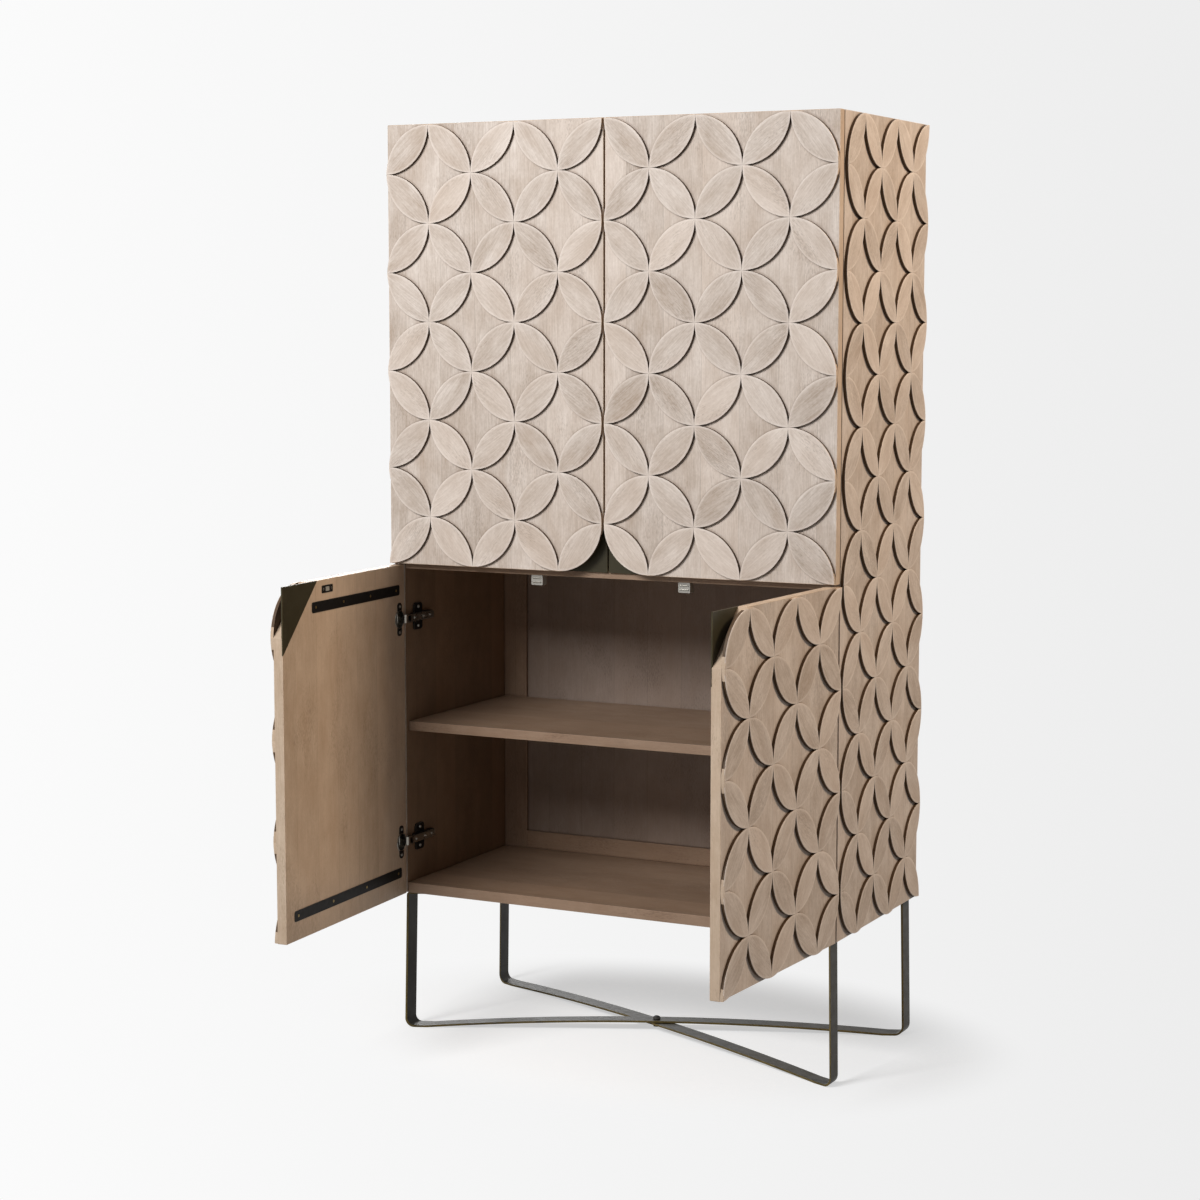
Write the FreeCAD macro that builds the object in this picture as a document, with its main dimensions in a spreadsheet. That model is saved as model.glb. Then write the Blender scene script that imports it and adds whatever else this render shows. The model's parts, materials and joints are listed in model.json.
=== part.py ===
"""Tall two-tier storage cabinet with four overlay doors, petal relief and a crossed flat-bar base.

Millimetres, +Z up, +X to the right, the doors on the -Y side. The origin is on the floor under the
middle of the carcass. Left-hand pieces are drawn with the doors shut and mirrored for the right hand.
The lower doors are then swung open about their hinge pins.
"""
import FreeCAD, Part
import math
import os
import re
import Sketcher

# Driving sizes, all in millimetres, and the angle in degrees at which the lower doors stand.
SIZES = {
    "carcass_width": 914.0,
    "carcass_depth": 416.0,
    "side_thickness": 18.0,
    "top_thickness": 20.0,
    "divider_thickness": 20.0,
    "bottom_thickness": 20.0,
    "shelf_thickness": 18.0,
    "shelf_setback": 8.0,
    "back_inset": 6.0,
    "back_frame_thickness": 18.0,
    "back_panel_thickness": 8.0,
    "back_panel_recess": 5.0,
    "back_stile_width": 52.0,
    "back_rail_height": 36.0,
    "back_middle_rail_height": 60.0,
    "row_pitch": 91.9,
    "door_edge_margin": 0.5,
    "door_gap": 3.0,
    "door_back_gap": 3.0,
    "core_thickness": 19.0,
    "petal_thickness": 6.5,
    "petal_clearance": 0.4,
    "pull_plate_leg": 124.0,
    "pull_plate_thickness": 2.5,
    "strap_width": 20.0,
    "strap_thickness": 6.0,
    "strap_proud": 0.8,
    "strap_corner": 4.0,
    "strap_hinge_end": 20.0,
    "pull_strap_offset": 48.0,
    "pull_strap_free_end": 103.0,
    "far_strap_offset": 45.0,
    "far_strap_free_end": 28.0,
    "hinge_offset": 105.0,
    "open_clearance": 7.0,
    "cup_radius": 17.5,
    "cup_wall": 1.0,
    "cup_depth": 15.4,
    "cup_inset": 20.5,
    "flange_thickness": 1.2,
    "flange_height": 64.0,
    "flange_width": 18.0,
    "hinge_pin_radius": 1.5,
    "hinge_pin_length": 18.4,
    "hinge_pin_play": 0.05,
    "eye_radius": 2.3,
    "eye_height": 7.0,
    "arm_crank": 20.0,
    "arm_thickness": 2.6,
    "arm_height": 14.0,
    "arm_reach": 88.0,
    "spine_start": 16.0,
    "spine_height": 16.0,
    "wing_start": 26.0,
    "wing_depth": 32.0,
    "wing_height": 52.0,
    "wing_thickness": 3.0,
    "hinge_screw_radius": 3.5,
    "hinge_screw_head": 1.6,
    "hinge_screw_spacing": 37.0,
    "catch_place": 152.0,
    "catch_width": 24.0,
    "catch_depth": 18.0,
    "catch_height": 19.0,
    "catch_reach": 1.5,
    "strike_width": 22.0,
    "strike_height": 12.0,
    "strike_thickness": 1.0,
    "leg_height": 271.0,
    "leg_side_inset": 13.5,
    "leg_front_inset": 2.0,
    "bar_width": 35.0,
    "bar_thickness": 4.0,
    "bar_bend_radius": 18.0,
    "flange_bend_radius": 6.0,
    "bar_flange_length": 80.0,
    "leg_splay": 5.5,
    "foot_flat": 24.0,
    "arch_rise": 13.0,
    "crossing_play": 0.2,
    "bolt_radius": 4.0,
    "bolt_head_radius": 7.5,
    "bolt_head_height": 6.0,
    "bolt_play": 0.2,
    "nut_radius": 7.5,
    "nut_height": 6.0,
    "leg_screw_radius": 5.0,
    "leg_screw_head": 2.5,
    "leg_screw_inset": 22.0,
    "lower_open_angle": 87.0,
}
UPPER_ROWS = 9
LOWER_ROWS = 7
DOOR_COLUMNS = 5
SIDE_COLUMNS = 5
UPPER_SHELVES = 2

# What is round and repeats is drawn with flat sides, so that the model stays light.
PETAL_CHORDS = 3
CUP_SIDES = 16
PIN_SIDES = 12
SCREW_SIDES = 8
NUT_SIDES = 6
BORE_SHARE = 1 / math.cos(math.pi / PIN_SIDES)

doc = FreeCAD.newDocument("storage_cabinet")
sheet = doc.addObject("Spreadsheet::Sheet", "sizes")
for line, (alias, amount) in enumerate(SIZES.items(), start=1):
    sheet.set(f"A{line}", alias)
    sheet.set(f"B{line}", str(amount))
    sheet.setAlias(f"B{line}", alias)
doc.recompute()

# Sizes that follow from the driving ones, as expressions in the sheet's aliases.
HALF_WIDTH = "(carcass_width / 2)"
INNER_HALF = f"({HALF_WIDTH} - side_thickness)"
FRONT = "(-carcass_depth / 2)"
REAR = "(carcass_depth / 2)"
BACK_FACE = f"({REAR} - back_inset - back_frame_thickness)"
UPPER_DOOR = f"({UPPER_ROWS} * row_pitch + 2 * door_edge_margin)"
LOWER_DOOR = f"({LOWER_ROWS} * row_pitch + 2 * door_edge_margin)"
CARCASS_HEIGHT = f"({UPPER_DOOR} + door_gap + {LOWER_DOOR})"
CARCASS_TOP = f"(leg_height + {CARCASS_HEIGHT})"
UPPER_DOOR_BOTTOM = f"(leg_height + {LOWER_DOOR} + door_gap)"
DIVIDER_BOTTOM = f"(leg_height + {LOWER_DOOR} + door_gap / 2 - divider_thickness / 2)"
DIVIDER_TOP = f"({DIVIDER_BOTTOM} + divider_thickness)"
FLOOR_TOP = "(leg_height + bottom_thickness)"
CEILING = f"({CARCASS_TOP} - top_thickness)"
DOOR_WIDTH = "((carcass_width - door_gap) / 2)"
COLUMN_PITCH = f"({DOOR_WIDTH} / {DOOR_COLUMNS})"
DOOR_BACK = f"({FRONT} - door_back_gap)"
PIN_INSET = "((core_thickness + door_back_gap - open_clearance) / 2)"
PIN_REACH = "((core_thickness + door_back_gap + open_clearance) / 2)"
ARM_FACE = f"({PIN_INSET} + arm_crank - arm_thickness / 2)"
LEG_HALF = f"({HALF_WIDTH} - leg_side_inset)"
LEG_FRONT = f"({FRONT} + leg_front_inset)"
LEG_BACK = "(carcass_depth / 2 - leg_front_inset - bar_width)"

MIRROR_NORMAL = FreeCAD.Vector(1, 0, 0)
UPWARD = FreeCAD.Vector(0, 0, 1)
nodes = []


def cells(text):
    """An expression with each alias written as the sheet's own cell."""
    return re.sub(r"[a-z_]+", lambda word: "sizes." + word[0] if word[0] in SIZES else word[0], text)


def size(text):
    """The value of an expression, read from the sheet."""
    return float(sheet.evalExpression(cells(text)))


def point(x, y, z):
    return FreeCAD.Vector(size(x), size(y), size(z))


def bind(piece, places):
    """Ties properties of a piece to expressions of the sheet."""
    for prop, text in places.items():
        piece.setExpression(prop, cells(text))


def seat(piece, x, y, z):
    bind(piece, {"Placement.Base.x": x, "Placement.Base.y": y, "Placement.Base.z": z})


def node(name, piece):
    """Names a finished sub-part."""
    piece.Label = name
    nodes.append(piece)
    return piece


def block(name, length, width, height, x, y, z):
    """A rectangular board or bar: its extents along X, Y and Z, and its lowest corner."""
    piece = doc.addObject("Part::Box", name)
    bind(piece, {"Length": length, "Width": width, "Height": height})
    seat(piece, x, y, z)
    return piece


def rod(name, radius, height, x, y, z, sides=0, tilt=None):
    """A bar from its base point, along +Z unless it is tilted: round, or with a number of flat sides."""
    piece = doc.addObject("Part::Prism" if sides else "Part::Cylinder", name)
    if sides:
        piece.Polygon = sides
    bind(piece, {"Circumradius" if sides else "Radius": radius, "Height": height})
    if tilt:
        piece.Placement = FreeCAD.Placement(FreeCAD.Vector(), tilt)
    seat(piece, x, y, z)
    return piece


def group(name, pieces):
    piece = doc.addObject("Part::Compound", name)
    piece.Links = pieces
    return piece


def fuse(name, pieces):
    piece = doc.addObject("Part::MultiFuse", name)
    piece.Shapes = pieces
    return piece


def cut(name, base, tool):
    piece = doc.addObject("Part::Cut", name)
    piece.Base = base
    piece.Tool = tool
    return piece


def mirror(name, source):
    """The right-hand copy of a left-hand piece."""
    piece = doc.addObject("Part::Mirroring", name)
    piece.Source = source
    piece.Normal = MIRROR_NORMAL
    return piece


def pair(name, source):
    return group(name, [source, mirror(name + "_right", source)])


def plate(name, corners, thickness, x, y, z):
    """A flat plate drawn from behind: corners across and up from its base point, thickness to the front."""
    body = doc.addObject("PartDesign::Body", name)
    sketch = body.newObject("Sketcher::SketchObject", name + "_outline")
    plane = next(f for f in body.Origin.OriginFeatures if f.Role == "XZ_Plane")
    sketch.AttachmentSupport = [(plane, "")]
    sketch.MapMode = "FlatFace"
    ends = [point(across, up, "0") for across, up in corners]
    for k, start in enumerate(ends):
        sketch.addGeometry(Part.LineSegment(start, ends[(k + 1) % len(ends)]))
    for k in range(len(ends)):
        sketch.addConstraint(Sketcher.Constraint("Coincident", k, 2, (k + 1) % len(ends), 1))
    for k, corner in enumerate(corners):
        for kind, axis, text in zip(("DistanceX", "DistanceY"), (-2, -1), corner):
            if text == "0":
                sketch.addConstraint(Sketcher.Constraint("PointOnObject", k, 1, axis))
                continue
            number = sketch.addConstraint(Sketcher.Constraint(kind, -1, 1, k, 1, size(text)))
            sketch.setExpression(f"Constraints[{number}]", cells(text))
    pad = body.newObject("PartDesign::Pad", name + "_pad")
    pad.Profile = sketch
    bind(pad, {"Length": thickness})
    seat(body, x, y, z)
    return body


def extrusion(name, profile, direction, length):
    piece = doc.addObject("Part::Extrusion", name)
    piece.Base = profile
    piece.DirMode = "Custom"
    piece.Dir = direction
    piece.Solid = True
    bind(piece, {"LengthFwd": length})
    return piece


def petal_corners(rising):
    """One petal in its grid cell, as shares of the cell: two quarter arcs between opposite corners.

    Each arc is drawn as chords that lie as far outside it at their ends as inside it at their middles.
    """
    step = math.pi / 2 / PETAL_CHORDS
    swell_share = 2 / (1 + math.cos(step / 2))
    arc = [(0, 0)]
    for k in range(1, PETAL_CHORDS):
        arc.append((1 - swell_share * math.cos(k * step), swell_share * math.sin(k * step)))
    shares = arc + [(1 - across, 1 - up) for across, up in arc]
    return shares if rising else [(1 - across, up) for across, up in shares]


def petal_field(name, columns, rows, first_rises, pitch, place, direction):
    """Overlapping circles: one petal in each cell of a grid, turned one way and the other by turns.

    pitch is the cell's two sides, and place gives the point at a distance across and up the panel.
    """
    across_pitch, up_pitch = pitch
    trim = 2 * size("petal_clearance")
    faces = []
    for column in range(columns):
        for row in range(rows):
            rising = ((column + row) % 2 == 0) == first_rises
            outline = []
            for across, up in petal_corners(rising):
                outline.append(place(
                    (column + 0.5) * across_pitch + (across - 0.5) * (across_pitch - trim),
                    (row + 0.5) * up_pitch + (up - 0.5) * (up_pitch - trim)))
            faces.append(Part.Face(Part.makePolygon(outline + outline[:1])))
    outlines = doc.addObject("Part::Feature", name + "_outlines")
    outlines.Shape = Part.makeCompound(faces)
    return extrusion(name, outlines, direction, "petal_thickness")


def carcass():
    """Side panels, top, divider, bottom, shelves and the framed back."""
    inner = f"2 * {INNER_HALF}"
    left = block("left_side", "side_thickness", "carcass_depth", CARCASS_HEIGHT,
                 f"-{HALF_WIDTH}", FRONT, "leg_height")
    node("left_side_panel", left)
    node("right_side_panel", mirror("right_side", left))
    for name, thickness, z in (("top_panel", "top_thickness", CEILING),
                               ("bottom_panel", "bottom_thickness", "leg_height")):
        node(name, block(name, inner, "carcass_depth", thickness, f"-{INNER_HALF}", FRONT, z))
    shelf_depth = f"{BACK_FACE} - {FRONT}"
    node("middle_divider", block("divider", inner, shelf_depth, "divider_thickness",
                                 f"-{INNER_HALF}", FRONT, DIVIDER_BOTTOM))

    def shelf(name, low, high, share):
        return block(name, inner, f"{shelf_depth} - shelf_setback", "shelf_thickness", f"-{INNER_HALF}",
                     f"{FRONT} + shelf_setback", f"{low} + ({high} - {low}) * {share} - shelf_thickness / 2")

    node("lower_shelf", shelf("low_shelf", FLOOR_TOP, DIVIDER_BOTTOM, 1 / 2))
    steps = [(k + 1) / (UPPER_SHELVES + 1) for k in range(UPPER_SHELVES)]
    node("upper_shelves", group("high_shelves", [
        shelf(f"high_shelf_{k}", DIVIDER_TOP, CEILING, share) for k, share in enumerate(steps)]))


def back():
    """Two stiles and three rails around two recessed panels."""
    stile = block("back_stile", "back_stile_width", "back_frame_thickness", f"{CEILING} - {FLOOR_TOP}",
                  f"-{INNER_HALF}", BACK_FACE, FLOOR_TOP)
    node("back_stiles", pair("back_stile_pair", stile))
    reach = f"({INNER_HALF} - back_stile_width)"
    middle_bottom = f"(({DIVIDER_BOTTOM} + {DIVIDER_TOP} - back_middle_rail_height) / 2)"
    middle_top = f"({middle_bottom} + back_middle_rail_height)"
    rails = [("bottom_rail", FLOOR_TOP, "back_rail_height"),
             ("middle_rail", middle_bottom, "back_middle_rail_height"),
             ("top_rail", f"{CEILING} - back_rail_height", "back_rail_height")]
    node("back_rails", group("back_rail_set", [
        block(name, f"2 * {reach}", "back_frame_thickness", height, f"-{reach}", BACK_FACE, z)
        for name, z, height in rails]))
    fields = [("lower_field", f"({FLOOR_TOP} + back_rail_height)", middle_bottom),
              ("upper_field", middle_top, f"({CEILING} - back_rail_height)")]
    node("back_panels", group("back_panel_set", [
        block(name, f"2 * {reach}", "back_panel_thickness", f"{high} - {low}", f"-{reach}",
              f"{BACK_FACE} + back_panel_recess", low) for name, low, high in fields]))


def side_petals():
    """The relief on the outer face of each side panel, from the front edge to the rear edge."""
    rows = UPPER_ROWS + LOWER_ROWS
    pitch = (size("carcass_depth") / SIDE_COLUMNS, size(f"({CARCASS_HEIGHT} - 2 * door_edge_margin) / {rows}"))
    base = point(f"-{HALF_WIDTH}", FRONT, "leg_height + door_edge_margin")

    def place(across, up):
        return base + FreeCAD.Vector(0, across, up)

    field = petal_field("left_petals", SIDE_COLUMNS, rows, False, pitch, place, FreeCAD.Vector(-1, 0, 0))
    node("left_side_petals", field)
    node("right_side_petals", mirror("right_petals", field))


def strap(name, free_end, height):
    """A flat steel bar with its corners taken off, let into the inner face across the boards."""
    corner, width = "strap_corner", "strap_width"
    length = f"({DOOR_WIDTH} - strap_hinge_end - {free_end})"
    corners = [(corner, "0"), (f"{length} - {corner}", "0"), (length, corner), (length, f"{width} - {corner}"),
               (f"{length} - {corner}", width), (corner, width), ("0", f"{width} - {corner}"), ("0", corner)]
    return plate(name, corners, "strap_thickness", f"-{HALF_WIDTH} + strap_hinge_end",
                 f"{DOOR_BACK} + strap_proud", f"{height} - {width} / 2")


def hinge_cup(name, height):
    """The pressed pot let into the door, with its tall flange, and the pocket that it needs in the core."""
    x = f"-{HALF_WIDTH} + cup_inset"
    forward = FreeCAD.Rotation(FreeCAD.Vector(1, 0, 0), 90)
    face = f"{DOOR_BACK} + flange_thickness"
    pocket = rod(name + "_pocket", "cup_radius", "cup_depth", x, DOOR_BACK, height, CUP_SIDES, forward)
    outer = fuse(name + "_outer", [
        rod(name + "_pot", "cup_radius", "cup_depth + flange_thickness", x, face, height, CUP_SIDES, forward),
        block(name + "_flange", "flange_width", "flange_thickness", "flange_height",
              f"{x} - flange_width / 2", DOOR_BACK, f"{height} - flange_height / 2")])
    inner = rod(name + "_hollow", "cup_radius - cup_wall", "cup_depth + flange_thickness - cup_wall",
                x, face, height, CUP_SIDES, forward)
    pin = hinge_pin(name + "_pin_hole", f"hinge_pin_radius * {BORE_SHARE}", height, PIN_SIDES)
    return cut(name, outer, fuse(name + "_room", [inner, pin])), pocket


def hinge_pin(name, radius, height, sides=0):
    """A bar on the door's turning axis."""
    return rod(name, radius, "hinge_pin_length", f"-{HALF_WIDTH} + {PIN_INSET}", f"{FRONT} - {PIN_REACH}",
               f"{height} - hinge_pin_length / 2", sides)


def door(tier, bottom, height, rows, pull_at_top, open_angle):
    """One left-hand door and its right-hand copy: core, petals, pull plate, straps, cups, pins, strike."""
    name = f"{tier}_door"
    top = f"({bottom} + {height})"
    across, up = COLUMN_PITCH, "row_pitch"
    corners = [("0", "0"), (DOOR_WIDTH, "0"), (DOOR_WIDTH, height), ("0", height)]
    cut_corner = [(DOOR_WIDTH, f"{height} - {up}"), (f"{DOOR_WIDTH} - {across}", height)]
    leg = "pull_plate_leg"
    triangle = [(DOOR_WIDTH, height), (f"{DOOR_WIDTH} - {leg}", height), (DOOR_WIDTH, f"{height} - {leg}")]
    if pull_at_top:
        corners[2:3] = cut_corner
    else:
        corners[1:2] = [(f"{DOOR_WIDTH} - {across}", "0"), (DOOR_WIDTH, up)]
        triangle = [(DOOR_WIDTH, "0"), (DOOR_WIDTH, leg), (f"{DOOR_WIDTH} - {leg}", "0")]
    base = (f"-{HALF_WIDTH}", DOOR_BACK, bottom)
    blank = plate(name + "_blank", corners, "core_thickness", *base)
    pull = plate(name + "_pull", triangle, "pull_plate_thickness", *base)
    near = f"{top} - pull_strap_offset" if pull_at_top else f"{bottom} + pull_strap_offset"
    far = f"{bottom} + far_strap_offset" if pull_at_top else f"{top} - far_strap_offset"
    straps = [strap(name + "_pull_strap", "pull_strap_free_end", near),
              strap(name + "_far_strap", "far_strap_free_end", far)]
    hinge_heights = [f"({bottom} + hinge_offset)", f"({top} - hinge_offset)"]
    cups = [hinge_cup(f"{name}_cup_{k}", z) for k, z in enumerate(hinge_heights)]
    pins = [hinge_pin(f"{name}_pin_{k}", "hinge_pin_radius", z) for k, z in enumerate(hinge_heights)]
    pockets = [pocket for _, pocket in cups]
    core = cut(name + "_wood", blank, fuse(name + "_inlays", [pull, *straps, *pockets]))
    strike_middle = (f"{DIVIDER_BOTTOM} - catch_height / 2" if pull_at_top
                     else f"{DIVIDER_TOP} + catch_height / 2")
    strike = block(name + "_strike", "strike_width", "strike_thickness", "strike_height",
                   "-catch_place - strike_width / 2", DOOR_BACK, f"{strike_middle} - strike_height / 2")
    grid = point(base[0], f"{DOOR_BACK} - core_thickness", f"{bottom} + door_edge_margin")

    def place(u, w):
        return grid + FreeCAD.Vector(u, 0, w)

    # The petal in the pull's corner cell crosses the cut corner, and the others turn by turns from it.
    corner_is_even = (DOOR_COLUMNS - 1 + (rows - 1 if pull_at_top else 0)) % 2 == 0
    first_rises = corner_is_even != pull_at_top
    petals = petal_field(name + "_petals", DOOR_COLUMNS, rows, first_rises,
                         (size(across), size(up)), place, FreeCAD.Vector(0, -1, 0))
    pieces = {
        "core": core,
        "petals": petals,
        "pull_plate": pull,
        "straps": group(name + "_strap_set", straps),
        "hinge_cups": group(name + "_cup_set", [cup for cup, _ in cups]),
        "hinge_pins": group(name + "_pin_set", pins),
        "strike_plate": strike,
    }
    pin_place = (f"({HALF_WIDTH} - {PIN_INSET})", f"({FRONT} - {PIN_REACH})", "0")
    for hand, turn, x in (("left", -open_angle, f"-{pin_place[0]}"), ("right", open_angle, pin_place[0])):
        swing = FreeCAD.Placement(FreeCAD.Vector(), FreeCAD.Rotation(UPWARD, turn), point(x, *pin_place[1:]))
        for kind, source in pieces.items():
            label = f"{hand}_{tier}_{kind}"
            piece = group(label, [source]) if hand == "left" else mirror(label, source)
            piece.Placement = swing
            node(label, piece)
    return hinge_heights


def hinge_hardware(heights):
    """Mounting plates on the side panels' inner faces, and cranked arms from them to the door pins."""
    plates, arms, screws = [], [], []
    wall = f"(-{INNER_HALF})"
    pin_x = f"(-{HALF_WIDTH} + {PIN_INSET})"
    pin_y = f"({FRONT} - {PIN_REACH})"
    inward = FreeCAD.Rotation(FreeCAD.Vector(0, 1, 0), 90)
    for k, z in enumerate(heights):
        plates.append(fuse(f"mounting_plate_{k}", [
            block(f"spine_{k}", f"{ARM_FACE} - side_thickness", "arm_reach - spine_start", "spine_height",
                  wall, f"{FRONT} + spine_start", f"{z} - spine_height / 2"),
            block(f"wing_{k}", "wing_thickness", "wing_depth", "wing_height",
                  wall, f"{FRONT} + wing_start", f"{z} - wing_height / 2")]))
        crank = block(f"crank_{k}", "arm_crank + arm_thickness / 2", "arm_thickness", "eye_height",
                      pin_x, f"{pin_y} - arm_thickness / 2", f"{z} - eye_height / 2")
        shank = block(f"shank_{k}", "arm_thickness", f"{FRONT} + arm_reach - {pin_y} + arm_thickness / 2",
                      "arm_height", f"-{HALF_WIDTH} + {ARM_FACE}", f"{pin_y} - arm_thickness / 2",
                      f"{z} - arm_height / 2")
        eye = rod(f"eye_{k}", "eye_radius", "eye_height", pin_x, pin_y, f"{z} - eye_height / 2", PIN_SIDES)
        hole = hinge_pin(f"eye_hole_{k}", f"(hinge_pin_radius + hinge_pin_play) * {BORE_SHARE}", z, PIN_SIDES)
        arms.append(cut(f"arm_{k}", fuse(f"arm_blank_{k}", [crank, shank, eye]), hole))
        for side in (-1, 1):
            screws.append(rod(f"hinge_screw_{k}_{side + 1}", "hinge_screw_radius", "hinge_screw_head",
                              f"{wall} + wing_thickness", f"{FRONT} + wing_start + wing_depth / 2",
                              f"{z} + {side} * hinge_screw_spacing / 2", SCREW_SIDES, inward))
    node("hinge_mounting_plates", pair("mounting_plate_set", group("left_mounting_plates", plates)))
    node("hinge_arms", pair("arm_set", group("left_arms", arms)))
    node("hinge_screws", pair("hinge_screw_set", group("left_hinge_screws", screws)))


def catches():
    """Magnetic catches under and over the divider, one for each door."""
    left = group("left_catches", [
        block(name, "catch_width", "catch_depth", "catch_height", "-catch_place - catch_width / 2",
              f"{FRONT} - catch_reach", z)
        for name, z in (("under_catch", f"{DIVIDER_BOTTOM} - catch_height"), ("over_catch", DIVIDER_TOP))])
    node("magnetic_catches", pair("catch_set", left))


def bar_profile(name, lift, start_y, end_y):
    """A bent flat bar seen along its width: flange, leg, foot, arched run and back up the other end.

    The profile lies in the upright plane from one corner to the other. The legs lean out a little from
    the flanges to the feet, and lift raises the arch.
    """
    start = point(f"-{LEG_HALF}", start_y, "0")
    end = point(LEG_HALF, end_y, "0")
    half = (end - start).Length / 2
    along = (end - start).normalize()
    middle = (start + end) / 2
    thick, bend, top_bend = size("bar_thickness"), size("bar_bend_radius"), size("flange_bend_radius")
    tall, flange, foot = size("leg_height"), size("bar_flange_length"), size("foot_flat")
    foot_half = half + size("leg_splay")
    peak = size("arch_rise") + lift
    corner_share = 1 - math.sqrt(0.5)

    def at(s, z):
        return middle + along * s + UPWARD * z

    def side(inset):
        """Points down one end at a depth of inset within the bar: flange tip to the end of the foot."""
        top, low = tall - inset, inset
        r_top, r_foot = top_bend - inset, bend - inset
        x_top, x_foot = half - inset, foot_half - inset
        dip_top, dip_foot = r_top * corner_share, r_foot * corner_share
        return [(half - flange, top), (x_top - r_top, top), (x_top - dip_top, top - dip_top),
                (x_top, top - r_top), (x_foot, low + r_foot), (x_foot - dip_foot, low + dip_foot),
                (x_foot - r_foot, low), (foot_half - bend - foot, low)]

    def trace(inset):
        """Edges from the flange tip at the far end, under the arch, to the flange tip at the near end."""
        far = [at(s, z) for s, z in side(inset)]
        near = [at(-s, z) for s, z in reversed(side(inset))]
        edges = []
        for p in (far, near):
            edges.append(Part.LineSegment(p[0], p[1]))
            edges.append(Part.Arc(p[1], p[2], p[3]))
            edges.append(Part.LineSegment(p[3], p[4]))
            edges.append(Part.Arc(p[4], p[5], p[6]))
            edges.append(Part.LineSegment(p[6], p[7]))
            if p is far:
                edges.append(Part.Arc(far[-1], at(0, peak + inset), near[0]))
        return [edge.toShape() for edge in edges], far[0], near[-1]

    outer, outer_far, outer_near = trace(0)
    inner, inner_far, inner_near = trace(thick)
    tips = [Part.LineSegment(outer_far, inner_far), Part.LineSegment(outer_near, inner_near)]
    wire = Part.Wire(Part.__sortEdges__(outer + inner + [tip.toShape() for tip in tips]))
    profile = doc.addObject("Part::Feature", name)
    profile.Shape = Part.Face(wire)
    return profile


def base():
    """Two bent flat bars from corner to corner, one passing over the other, bolted where they cross."""
    hole = rod("bolt_hole", "bolt_radius + bolt_play", "arch_rise + 4 * bar_thickness", "0", "0", "0")
    over_lift = size("bar_thickness + crossing_play")
    for name, lift, start_y, end_y in (("leg_bar_over", over_lift, LEG_FRONT, LEG_BACK),
                                       ("leg_bar_under", 0.0, LEG_BACK, LEG_FRONT)):
        profile = bar_profile(name + "_profile", lift, start_y, end_y)
        node(name, cut(name, extrusion(name + "_bent", profile, FreeCAD.Vector(0, 1, 0), "bar_width"), hole))
    over_top = "(arch_rise + 2 * bar_thickness + crossing_play)"
    nut_bottom = "(arch_rise - crossing_play - nut_height)"
    head = rod("bolt_head", "bolt_head_radius", "bolt_head_height", "0", "0", over_top, CUP_SIDES)
    shank = rod("bolt_shank", "bolt_radius", f"{over_top} - {nut_bottom}", "0", "0", nut_bottom, PIN_SIDES)
    node("crossing_bolt", fuse("bolt", [head, shank]))
    hexagon = rod("nut_hexagon", "nut_radius", "nut_height", "0", "0", nut_bottom, NUT_SIDES)
    bore = rod("nut_bore", "bolt_radius", "nut_height", "0", "0", nut_bottom, PIN_SIDES)
    node("crossing_nut", cut("nut", hexagon, bore))
    screw_z = "leg_height - bar_thickness - leg_screw_head"
    slope = f"(({LEG_BACK} - {LEG_FRONT}) / (2 * {LEG_HALF}))"
    screws = []
    for k, run in enumerate(("bar_flange_length / 2", "(bar_flange_length - leg_screw_inset)")):
        for name, y in (("front", f"({LEG_FRONT} + bar_width / 2 + {run} * {slope})"),
                        ("rear", f"({LEG_BACK} + bar_width / 2 - {run} * {slope})")):
            screws.append(rod(f"leg_screw_{name}_{k}", "leg_screw_radius", "leg_screw_head",
                              f"-{LEG_HALF} + {run}", y, screw_z, SCREW_SIDES))
    node("leg_screws", pair("leg_screw_set", group("left_leg_screws", screws)))


carcass()
back()
side_petals()
lower_hinges = door("lower", "leg_height", LOWER_DOOR, LOWER_ROWS, True, size("lower_open_angle"))
upper_hinges = door("upper", UPPER_DOOR_BOTTOM, UPPER_DOOR, UPPER_ROWS, False, 0.0)
hinge_hardware(lower_hinges + upper_hinges)
catches()
base()

doc.recompute()
for piece in doc.Objects:
    if "Invalid" in piece.State or "Error" in piece.State:
        raise RuntimeError(f"{piece.Name} failed: {piece.State}")
for piece in nodes:
    if piece.Shape.isNull() or not piece.Shape.isValid() or not piece.Shape.Solids:
        raise RuntimeError(f"{piece.Label} has no valid solid")
os.makedirs("parts", exist_ok=True)
for piece in nodes:
    piece.Shape.exportStep(f"parts/{piece.Label}.step")
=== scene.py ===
"""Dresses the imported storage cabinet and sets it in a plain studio.

Metres, in the frame of the CAD model: +Z up, the doors on the -Y side. Doors are drawn shut and then
turned about their hinge pins to where they stand at rest.
"""
import json
import math
import random

import bmesh
import bpy
from bpy.props import FloatProperty, FloatVectorProperty, IntProperty, PointerProperty
from mathutils import Matrix, Vector


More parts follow.
